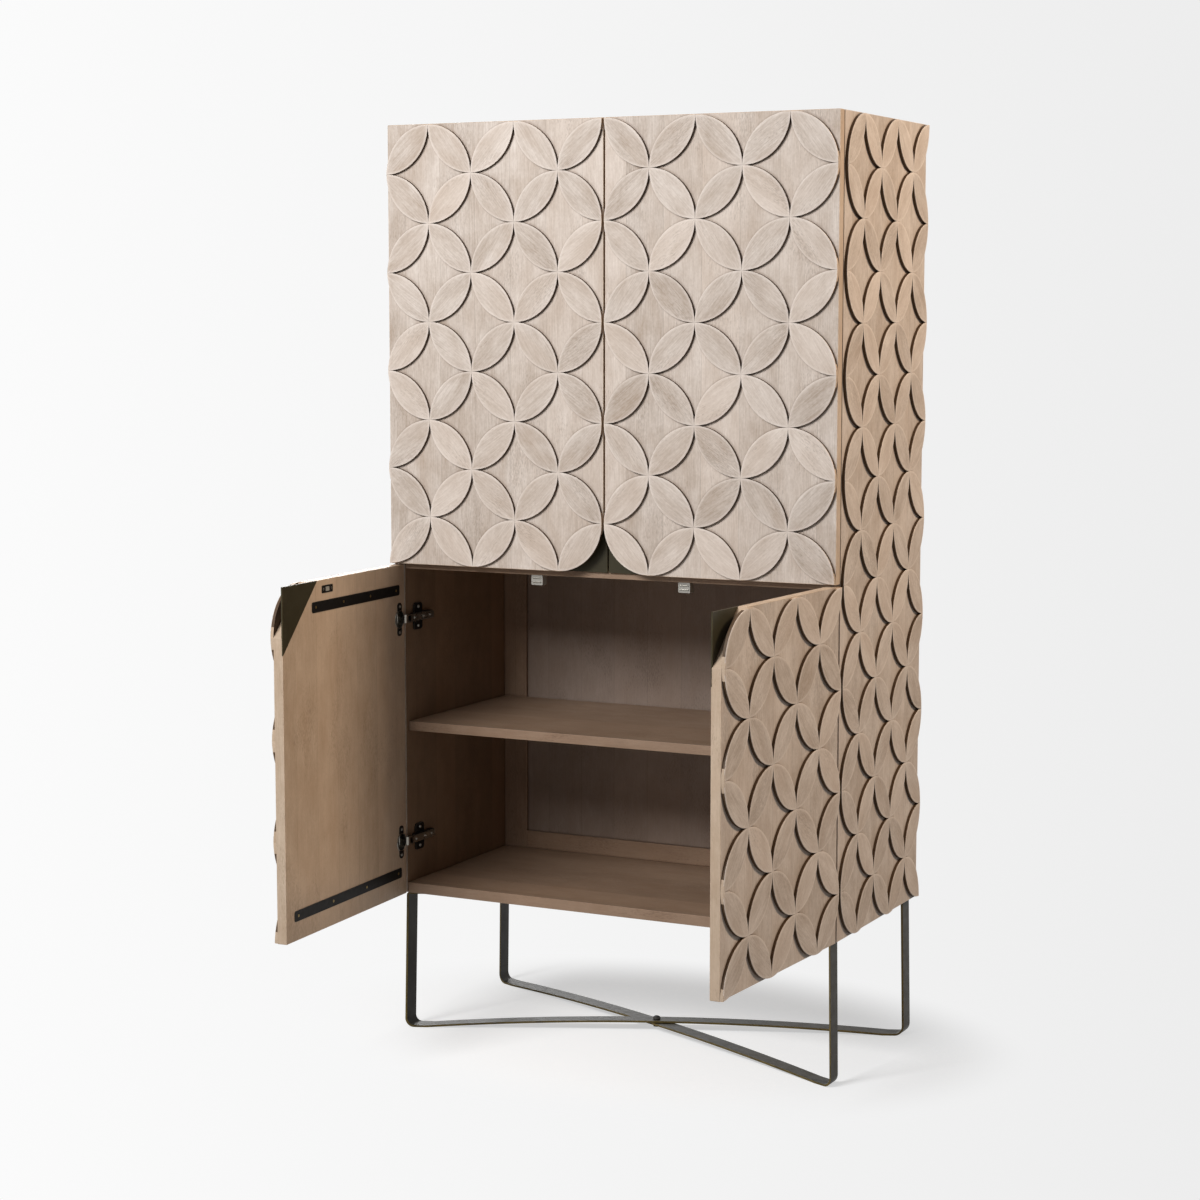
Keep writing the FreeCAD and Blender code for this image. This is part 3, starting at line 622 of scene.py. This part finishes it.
class CarcassBoards(bpy.types.Operator):
    """Make the sides, top, divider, bottom, shelves and the framed back"""
    bl_idname = "cabinet.carcass_boards"
    bl_label = "Carcass boards"

    def execute(self, context):
        ease = context.scene.cabinet_timber.ease
        for hand, inward in HANDS.items():
            node = f"{hand}_side_panel"
            low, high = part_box(node)
            face = low.x if inward > 0 else high.x
            plane = axes((face, low.y, low.z), (0, 1, 0), (0, 0, 1), (inward, 0, 0))
            size = high - low
            # The inner face is darker brown as painted shade.
            stock = Stock("dark_stained_mango", "bleached_mango")
            stock.prism(rounded(rectangle(0, 0, size.y, size.z), CORNER_SHARE * ease), 0.0, size.x, plane,
                        grain(ALONG_V, node), (ease, ease), (0, 1, 1))
            stock.piece(f"{hand}_side_board", "carcass", "carcass_boards", node)
        flat = (1, 0, 0), (0, 1, 0), (0, 0, 1)
        upright = (1, 0, 0), (0, 0, 1), (0, -1, 0)
        level = "top_panel", "bottom_panel", "middle_divider", "lower_shelf", "upper_shelves"
        kinds = dict.fromkeys(level, (flat, ALONG_U))
        kinds.update(back_stiles=(upright, ALONG_V), back_rails=(upright, ALONG_U),
                     back_panels=(upright, ALONG_V))
        for node, (directions, along) in kinds.items():
            stain = "greyed_mango" if node == "back_panels" else "brown_stained_mango"
            stock = Stock(stain, "bleached_mango")
            outer = 1 if node == "top_panel" else 0
            plane = axes((0, 0, 0), *directions)
            for k, box in enumerate(solid_boxes(node)):
                low, high = in_plane(plane, box)
                stock.prism(plan(low, high, CORNER_SHARE * ease), low.z, high.z, plane,
                            grain(along, f"{node} {k}"), (ease, ease), (outer, outer, 0))
            stock.piece(f"{node}_board", "carcass", "carcass_boards", node)
        return {"FINISHED"}


class FingerPulls(bpy.types.Operator):
    """Cut the triangular pull plates behind the doors' open corners"""
    bl_idname = "cabinet.finger_pulls"
    bl_label = "Finger pulls"

    def execute(self, context):
        ease = context.scene.cabinet_metal.ease
        proud, corner = 0.3 * MM, 0.6 * MM
        for door, tier, body, plane, _ in doors():
            node = f"{door}_pull_plate"
            low, high = in_plane(plane, shut_box(node, body))
            corners = [(high.x, low.y), (high.x, high.y), (low.x, high.y)]
            if tier == "upper":
                corners = [(low.x, low.y), (high.x, low.y), (high.x, high.y)]
            stock = Stock("olive_bronze_plate")
            stock.prism(rounded(corners, corner), low.z, high.z + proud, plane, eases=(ease, ease))
            stock.piece(f"{body}_finger_pull", body, "bronze_plate", node)
        return {"FINISHED"}


class Straps(bpy.types.Operator):
    """Lay the flat steel straps across the doors' inner faces, with their screws"""
    bl_idname = "cabinet.straps"
    bl_label = "Straps"

    def execute(self, context):
        ease = context.scene.cabinet_metal.ease
        corner = 4.5 * MM
        screws, screw_inset, screw_radius, screw_proud = 4, 14 * MM, 2.6 * MM, 0.3 * MM
        for door, _, body, plane, _ in doors():
            node = f"{door}_straps"
            stock = Stock("blackened_steel", "brass_screw")
            for box in solid_boxes(node, body):
                low, high = in_plane(plane, box)
                stock.prism(plan(low, high, corner, 5), low.z, high.z, plane, eases=(0.0, ease))
                first, last = low.x + screw_inset, high.x - screw_inset
                for k in range(screws):
                    u = first + (last - first) * k / (screws - 1)
                    seat = Matrix.Translation((u, (low.y + high.y) / 2, high.z))
                    stock.screw(screw_radius, screw_proud, plane @ seat, 1)
            stock.piece(f"{body}_straps", body, "black_steel", node)
        return {"FINISHED"}


class Hinges(bpy.types.Operator):
    """Make the concealed hinges: cups with flanges on the doors, arms and winged plates on the sides"""
    bl_idname = "cabinet.hinges"
    bl_label = "Hinges"

    def execute(self, context):
        for door, _, body, plane, size in doors():
            self.cups(f"{door}_hinge_cups", body, plane, size.y)
            self.strike(f"{door}_strike_plate", body, plane)
        self.arms()
        return {"FINISHED"}

    def cups(self, node, body, plane, face):
        """The pots let into a door, each with a ring and two flange tabs."""
        ease = bpy.context.scene.cabinet_metal.ease
        stock = Stock("blackened_steel", "nickel_plated_steel")
        wall, lip, bevel, let_in = 1.0 * MM, 0.6 * MM, 0.3 * MM, 0.4 * MM
        tab_half, tab_corner, tab_start = 8.6 * MM, 7 * MM, 0.93
        screw_radius, screw_proud = 3.4 * MM, 1.0 * MM
        for box in solid_boxes(node, body):
            low, high = in_plane(plane, box)
            middle = (low + high) / 2
            seat = plane @ Matrix.Translation((middle.x, middle.y, 0))
            pot, top, proud = (high.x - low.x) / 2, high.z, high.z - face
            buried, bore = pot * 0.98, pot - wall
            ring, hollow = pot + lip, bore - bevel
            stock.turned([(buried, low.z, 0), (buried, face, 0), (ring, face, 0),
                          (ring, face + proud * 0.6, 0.5), (pot, top, 1), (bore, top, 0.6),
                          (hollow, face + proud * 0.5, 0), (hollow, low.z + wall, 0)], seat, 1, 40)
            tab_end = (high.y - low.y) / 2
            for side in (-1, 1):
                near, far = side * tab_start * pot, side * tab_end
                tab = rectangle(-tab_half, min(near, far), tab_half, max(near, far))
                corners = [0, 0, tab_corner, tab_corner][::side]
                stock.prism(rounded(tab, corners, 6), face - let_in, top, seat, eases=(0.0, ease))
                hole = Matrix.Translation((0, side * (tab_end - tab_corner), top))
                stock.screw(screw_radius, screw_proud, seat @ hole, 1)
        stock.piece(f"{body}_hinge_flanges", body, "hinge_nickel", node)

    def strike(self, node, body, plane):
        """The plate that meets the catch: a steel base with a plastic pad between its two screws."""
        low, high = in_plane(plane, shut_box(node, body))
        stock = Stock("blackened_steel", "nickel_plated_steel", "moulded_grey_abs")
        # The base is longer and taller than the CAD plate.
        low -= Vector((18 * MM, 1 * MM, 0))
        high.y += 1 * MM
        middle = (low + high) / 2
        base, edge, base_corner = high.z - 0.4 * MM, 0.2 * MM, 2 * MM
        stock.prism(plan(low, high, base_corner), low.z - 0.5 * MM, base, plane, eases=(0.0, edge))
        pad_half, pad_inset, pad_corner = 6.5 * MM, 3 * MM, 1 * MM
        pad = rectangle(middle.x - pad_half, low.y + pad_inset, middle.x + pad_half, high.y - pad_inset)
        stock.prism(rounded(pad, pad_corner), base - edge, high.z, plane, eases=(0.0, edge),
                    finishes=(2, 2, 2))
        screw_reach, screw_radius, screw_proud = 14 * MM, 2.6 * MM, 0.35 * MM
        for side in (-1, 1):
            seat = Matrix.Translation((middle.x + side * screw_reach, middle.y, base))
            stock.screw(screw_radius, screw_proud, plane @ seat, 1)
        stock.piece(f"{body}_strike", body, "hinge_nickel", node)

    def arms(self):
        """Winged plates screwed to the sides, each with a channel arm that cranks over to the door's pin."""
        ease = bpy.context.scene.cabinet_metal.ease
        plates = Stock("blackened_steel", "nickel_plated_steel")
        arms = Stock("nickel_plated_steel")
        pin_y = JOINTS["left_lower_door"]["pos_m"][1]
        wing, wing_inset, wing_long, wing_corner = 3.0 * MM, 10 * MM, 32 * MM, 7 * MM
        spine_half, spine_corner = 8 * MM, 3 * MM
        wing_screw, wing_screw_radius, wing_screw_proud = 18.5 * MM, 3.5 * MM, 1.6 * MM
        thick, tip, full_width = 2.6 * MM, 6 * MM, 14 * MM
        shank_corners = [0, 3 * MM, 4 * MM, 4 * MM, 3 * MM, 0]
        cheek_start, cheek_wall, cheek_deep, cheek_corner = 18 * MM, 1.2 * MM, 6.5 * MM, 0.4 * MM
        neck_half, neck_long, eye_radius = 4.2 * MM, 14 * MM, 2.3 * MM
        crank_half, crank_end, crank_ease = 8 * MM, 16 * MM, 0.3 * MM
        crank_corners = [0, 0, 3 * MM, 0, 0, 5.5 * MM]
        arm_screw_proud = 1.2 * MM
        arm_screws = (30 * MM, 3.2 * MM), (64 * MM, 3.8 * MM), (88 * MM, 3.2 * MM)
        for arm_box, plate_box in zip(solid_boxes("hinge_arms"), solid_boxes("hinge_mounting_plates")):
            inward = 1 if arm_box[0].x < 0 else -1
            hand = "left" if inward > 0 else "right"
            wall = plate_box[0].x if inward > 0 else plate_box[1].x
            height = (arm_box[0].z + arm_box[1].z) / 2
            # Drawn from the wall inwards, with u to the rear from the pin and v up.
            plane = axes((wall, pin_y, height), (0, 1, 0), (0, 0, 1), (inward, 0, 0))
            low, high = in_plane(plane, plate_box)
            reach, half, face = in_plane(plane, arm_box)[1]
            start, end = low.x + wing_inset, low.x + wing_inset + wing_long
            flare = rounded(rectangle(start, -high.y, end, high.y), wing_corner, 6)
            plates.prism(flare, 0.0, wing, plane, eases=(0.0, ease))
            spine = rounded(rectangle(low.x, -spine_half, high.x, spine_half), spine_corner)
            plates.prism(spine, 0.0, high.z, plane, eases=(0.0, ease))
            for side in (-1, 1):
                seat = Matrix.Translation(((start + end) / 2, side * wing_screw, wing))
                plates.screw(wing_screw_radius, wing_screw_proud, plane @ seat, 1)
            shank = [(tip, -half / 2), (full_width, -half), (reach, -half)]
            shank += [(u, -v) for u, v in reversed(shank)]
            arms.prism(rounded(shank, shank_corners, 4), face - thick, face, plane, eases=(0.0, ease))
            for side in (-1, 1):
                edge = side * half
                cheek = anticlockwise(rectangle(cheek_start, edge, 0.8 * reach, edge - side * cheek_wall))
                arms.prism(rounded(cheek, cheek_corner), face - cheek_deep, face - thick / 2, plane)
            # The crank is drawn from above: u to the rear, v inwards from the wall.
            above = axes((wall, pin_y, height), (0, 1, 0), (inward, 0, 0), (0, 0, 1))
            pin = (JOINTS[f"{hand}_lower_door"]["pos_m"][0] - wall) * inward
            # Within the cup it is a narrow neck, which clears the cup's round wall as the door swings.
            side, shoulder = thick / 2, pin + neck_long
            arms.prism(rectangle(-side, pin, side, shoulder + side), -neck_half, neck_half, above)
            crank = [(-side, shoulder), (side, shoulder), (side, face - thick), (crank_end, face - thick),
                     (crank_end, face), (-side, face)]
            arms.prism(rounded(crank, crank_corners, 5), -crank_half, crank_half, above,
                       eases=(crank_ease, crank_ease))
            eye = [(eye_radius, -neck_half, 0.5), (eye_radius, neck_half, 0.5)]
            arms.turned(eye, above @ Matrix.Translation((0, pin, 0)), 0, 16)
            for u, radius in arm_screws:
                arms.screw(radius, arm_screw_proud, plane @ Matrix.Translation((u, 0, face)))
        plates.piece("hinge_wing_plates", "carcass", "hinge_nickel", "hinge_mounting_plates", "hinge_screws")
        arms.piece("hinge_channel_arms", "carcass", "hinge_nickel", "hinge_arms")


class Catches(bpy.types.Operator):
    """Mould the magnetic catches, with their two steel poles"""
    bl_idname = "cabinet.catches"
    bl_label = "Catches"

    def execute(self, context):
        stock = Stock("moulded_grey_abs", "nickel_plated_steel")
        plane = axes((0, 0, 0), (1, 0, 0), (0, 0, 1), (0, -1, 0))
        corner, ease = 2 * MM, 0.8 * MM
        pole, pole_inset, pole_corner, pole_ease, proud = 2.2 * MM, 3 * MM, 0.5 * MM, 0.3 * MM, 1.5 * MM
        for box in solid_boxes("magnetic_catches"):
            low, high = in_plane(plane, box)
            stock.prism(plan(low, high, corner), low.z, high.z - proud, plane, eases=(ease, ease))
            for share in (0.3, 0.7):
                v = low.y + (high.y - low.y) * share
                bar = rectangle(low.x + pole_inset, v - pole / 2, high.x - pole_inset, v + pole / 2)
                stock.prism(rounded(bar, pole_corner), high.z - 2 * proud, high.z, plane,
                            eases=(0.0, pole_ease), finishes=(1, 1, 1))
        stock.piece("divider_catches", "carcass", "catch_plastic", "magnetic_catches")
        return {"FINISHED"}


class BarBase(bpy.types.Operator):
    """Bend the two flat bars that cross from corner to corner, and bolt them together"""
    bl_idname = "cabinet.bar_base"
    bl_label = "Bar base"

    def execute(self, context):
        ease = context.scene.cabinet_metal.ease
        low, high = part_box("leg_bar_under")
        bolt_low, bolt_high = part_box("crossing_bolt")
        wide, thick, arch, gap = 35 * MM, 4 * MM, 13 * MM, 0.2 * MM
        for name, start_y, end_y, lift in (("leg_bar_over", low.y, high.y - wide, thick + gap),
                                           ("leg_bar_under", high.y - wide, low.y, 0.0)):
            start, end = Vector((low.x, start_y, 0)), Vector((high.x, end_y, 0))
            along = (end - start).normalized()
            plane = axes((start + end) / 2, along, (0, 0, 1), (0, 1, 0))
            outline = self.profile((end - start).length / 2, high.z, thick, arch + lift)
            stock = Stock("bronze_lacquered_steel")
            stock.prism(outline, 0.0, wide, plane, eases=(ease, ease), end_rim=0.75)
            stock.piece(f"{name}_bent", "carcass", "bronzed_bar", name)
        stock = Stock("blackened_steel")
        radius, top, shaft = bolt_high.x, bolt_high.z, 4 * MM
        head = arch + 2 * thick + gap
        dome = [(shaft, bolt_low.z, 0), (shaft, head, 0), (radius, head, 0), (radius, head + 2.4 * MM, 0.6),
                (0.86 * radius, head + 4.6 * MM, 0.3), (0.55 * radius, top, 0), (0.36 * radius, top, 0.4),
                (0.3 * radius, top - 2 * MM, 0)]
        stock.turned(dome, Matrix.Identity(4), 0, 32)
        stock.piece("crossing_bolt_domed", "carcass", "black_steel", "crossing_bolt")
        nut_low, nut_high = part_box("crossing_nut")
        stock = Stock("blackened_steel")
        hexagon = disc(0, 0, nut_high.x, 6)
        stock.prism(hexagon, nut_low.z, nut_high.z, Matrix.Identity(4), eases=(ease, ease))
        stock.piece("crossing_nut_hexagon", "carcass", "black_steel", "crossing_nut")
        for node, name in [("leg_screws", "blackened_steel")] + [
                (f"{door}_hinge_pins", "nickel_plated_steel") for door, *_ in doors()]:
            slots = frame["nodes"][node].data.materials
            slots.clear()
            slots.append(finish(name))
        return {"FINISHED"}

    def profile(self, half, tall, thick, peak):
        """The bent bar seen along its width: flange, leaning leg, foot, arched run and up the other end."""
        bend, flange_bend, flange, foot, splay = 18 * MM, 6 * MM, 80 * MM, 24 * MM, 5.5 * MM
        top = half - splay
        run, spans = half - bend - foot, 40
        radius = (run * run + peak * peak) / (2 * peak)
        traces = []
        for inset in (0.0, thick):
            corners = [(top - flange, tall - inset), (top - inset, tall - inset), (half - inset, inset),
                       (run, inset)]
            path = rounded(corners, [0, flange_bend - inset, bend - inset, 0], 8)
            # The arch is one circle through both feet and the peak.
            steps = [run - 2 * run * step / spans for step in range(1, spans)]
            arch = [(u, inset + peak - radius + math.sqrt(radius * radius - u * u)) for u in steps]
            traces.append([tuple(spot) for spot in path] + arch + [(-u, v) for u, v in reversed(path)])
        return traces[0] + list(reversed(traces[1]))


class Studio(bpy.types.Operator):
    """Set the floor, the lights and the camera"""
    bl_idname = "cabinet.studio"
    bl_label = "Studio"

    def execute(self, context):
        scene = context.scene
        settings = scene.cabinet_studio
        scene.view_settings.view_transform = "Standard"
        camera = bpy.data.objects.new("camera", bpy.data.cameras.new("camera"))
        scene.collection.objects.link(camera)
        camera.location = VIEWPOINT
        tilt, heading = math.radians(83.59), math.radians(26.76)
        camera.rotation_euler = (tilt, 0.0, heading)
        camera.data.sensor_width = 36.0
        camera.data.lens = settings.lens
        scene.camera = camera
        right = Vector((math.cos(heading), math.sin(heading), 0))
        self.backdrop(scene, settings, right)
        floor = self.floor(scene, settings, right)
        white, warm = (1.0, 1.0, 1.0), settings.fill_tint[:3]
        for name, power, tint, wide, tall, place, aim in (
                ("key light", settings.key_power, white, 1.4, 1.2, (-0.9, -3.2, 2.72), (0, -0.2, 1.3)),
                ("fill light", settings.fill_power, warm, 0.7, 0.7, (2.9, 0.2, 2.9), (0.3, -0.1, 1.1)),
                ("back light", settings.back_power, white, 1.6, 1.4, (-2.4, 2.9, 2.4), (0, 0.1, 0.9))):
            lamp = bpy.data.objects.new(name, bpy.data.lights.new(name, "AREA"))
            lamp.data.shape = "RECTANGLE"
            lamp.data.size, lamp.data.size_y = wide, tall
            lamp.data.energy = power
            lamp.data.color = tint
            lamp.location = place
            lamp.rotation_euler = (Vector(aim) - Vector(place)).to_track_quat("-Z", "Y").to_euler()
            scene.collection.objects.link(lamp)
            if name != "key light":
                # Only the key light falls on the floor, so that one soft shadow lies there.
                spared = bpy.data.collections.new(f"spared by the {name}")
                lamp.light_linking.receiver_collection = spared
                spared.objects.link(floor)
                spared.collection_objects[0].light_linking.link_state = "EXCLUDE"
        return {"FINISHED"}

    def seen(self, tree):
        """1 for rays that show the studio itself: from the camera, and by mirroring or passing through."""
        shown = 0.0
        for name in ("Is Camera Ray", "Is Glossy Ray", "Is Transmission Ray"):
            ray = add(tree, "LightPath", out=name)
            shown = add(tree, "Math", {0: shown, 1: ray}, operation="MAXIMUM")
        return shown

    def wash(self, tree, settings, direction, right):
        """The backdrop's slow change of tone from left to right."""
        reach = 0.23
        side = add(tree, "VectorMath", {0: direction, 1: right}, "Value", operation="DOT_PRODUCT")
        share = add(tree, "MapRange", {0: side, 1: -reach, 2: reach})
        ends = {0: share, MIX_A: settings.backdrop_left, MIX_B: settings.backdrop_right}
        return add(tree, "Mix", ends, MIX_RESULT, data_type="RGBA")

    def backdrop(self, scene, settings, right):
        world = bpy.data.worlds.new("studio backdrop")
        world.use_nodes = True
        scene.world = world
        tree = world.node_tree
        around = tree.nodes["Background"]
        around.inputs["Color"].default_value = 1, 1, 1, 1
        around.inputs["Strength"].default_value = settings.ambient
        view = add(tree, "TexCoord", out="Generated")
        shown = add(tree, "Background", {0: self.wash(tree, settings, view, right), 1: 1.0})
        mixed = add(tree, "MixShader", {0: self.seen(tree), 1: around.outputs[0], 2: shown})
        tree.links.new(mixed, tree.nodes["World Output"].inputs["Surface"])

    def floor(self, scene, settings, right):
        """A wide pale floor that melts into the backdrop and keeps the cabinet's soft shadow."""
        reach = 30.0
        data = bpy.data.meshes.new("studio floor")
        corners = [(x, y, 0) for x, y in rectangle(-reach, -reach, reach, reach)]
        data.from_pydata(corners, [], [(0, 1, 2, 3)])
        floor = bpy.data.objects.new("studio_floor", data)
        scene.collection.objects.link(floor)
        made, tree, surface = material("painted_floor")
        tree.nodes.remove(surface)
        place = add(tree, "TexCoord", out="Object")
        # The floor's tones fan out from one fixed spot, so that they meet the backdrop's at the horizon.
        fan = add(tree, "VectorMath", {0: place, 1: VIEWPOINT}, operation="SUBTRACT")
        fan = add(tree, "VectorMath", {0: fan}, operation="NORMALIZE")
        tone = self.wash(tree, settings, fan, right)
        # The shadow keeps to an oval a little wider than the cabinet, and fades out at the oval's rim.
        half_wide, half_deep, fade_start, most = 0.75, 0.55, 0.55, 0.42
        oval = add(tree, "VectorMath", {0: place, 1: (1 / half_wide, 1 / half_deep, 0)},
                   operation="MULTIPLY")
        distance = add(tree, "VectorMath", {0: oval}, "Value", operation="LENGTH")
        share = add(tree, "MapRange", {0: distance, 1: fade_start, 2: 1.0, 3: most, 4: 0.0},
                    interpolation_type="SMOOTHSTEP")
        # Away from the shadow, the paint's share is as bright as the glow that it takes the place of.
        open_light = 0.56
        painted = add(tree, "VectorMath", {0: tone, 1: [1 / open_light] * 3}, operation="MULTIPLY")
        paint = add(tree, "BsdfDiffuse", {0: painted})
        glow = add(tree, "Emission", {0: tone, 1: 1.0})
        shown = add(tree, "MixShader", {0: share, 1: glow, 2: paint})
        # For bounced light the floor is a plain grey.
        plain = add(tree, "BsdfDiffuse", {0: (0.6, 0.6, 0.6, 1)})
        mixed = add(tree, "MixShader", {0: self.seen(tree), 1: plain, 2: shown})
        tree.links.new(mixed, tree.nodes["Material Output"].inputs[0])
        data.materials.append(made)
        return floor


OPERATORS = (PetalRelief, DoorBoards, CarcassBoards, FingerPulls, Straps, Hinges, Catches, BarBase, Studio)


class CabinetPanel(bpy.types.Panel):
    """Lists the cabinet's pieces and settings"""
    bl_idname = "VIEW3D_PT_cabinet"
    bl_label = "Cabinet"
    bl_space_type = "VIEW_3D"
    bl_region_type = "UI"
    bl_category = "Cabinet"

    def draw(self, context):
        for operator in OPERATORS:
            self.layout.operator(operator.bl_idname)
        for group, kind in GROUPS.items():
            for name in kind.__annotations__:
                self.layout.prop(getattr(context.scene, group), name)


GROUPS = {"cabinet_timber": TimberSettings, "cabinet_metal": MetalSettings, "cabinet_studio": StudioSettings}
CLASSES = (*GROUPS.values(), *OPERATORS, CabinetPanel)


def register():
    for made in CLASSES:
        bpy.utils.register_class(made)
    for name, group in GROUPS.items():
        setattr(bpy.types.Scene, name, PointerProperty(type=group))


def unregister():
    for name in GROUPS:
        delattr(bpy.types.Scene, name)
    for made in reversed(CLASSES):
        bpy.utils.unregister_class(made)


def main():
    register()
    bpy.ops.cabinet.petal_relief()
    bpy.ops.cabinet.door_boards()
    bpy.ops.cabinet.carcass_boards()
    bpy.ops.cabinet.finger_pulls()
    bpy.ops.cabinet.straps()
    bpy.ops.cabinet.hinges()
    bpy.ops.cabinet.catches()
    bpy.ops.cabinet.bar_base()
    bpy.ops.cabinet.studio()


if __name__ == "__main__":
    main()
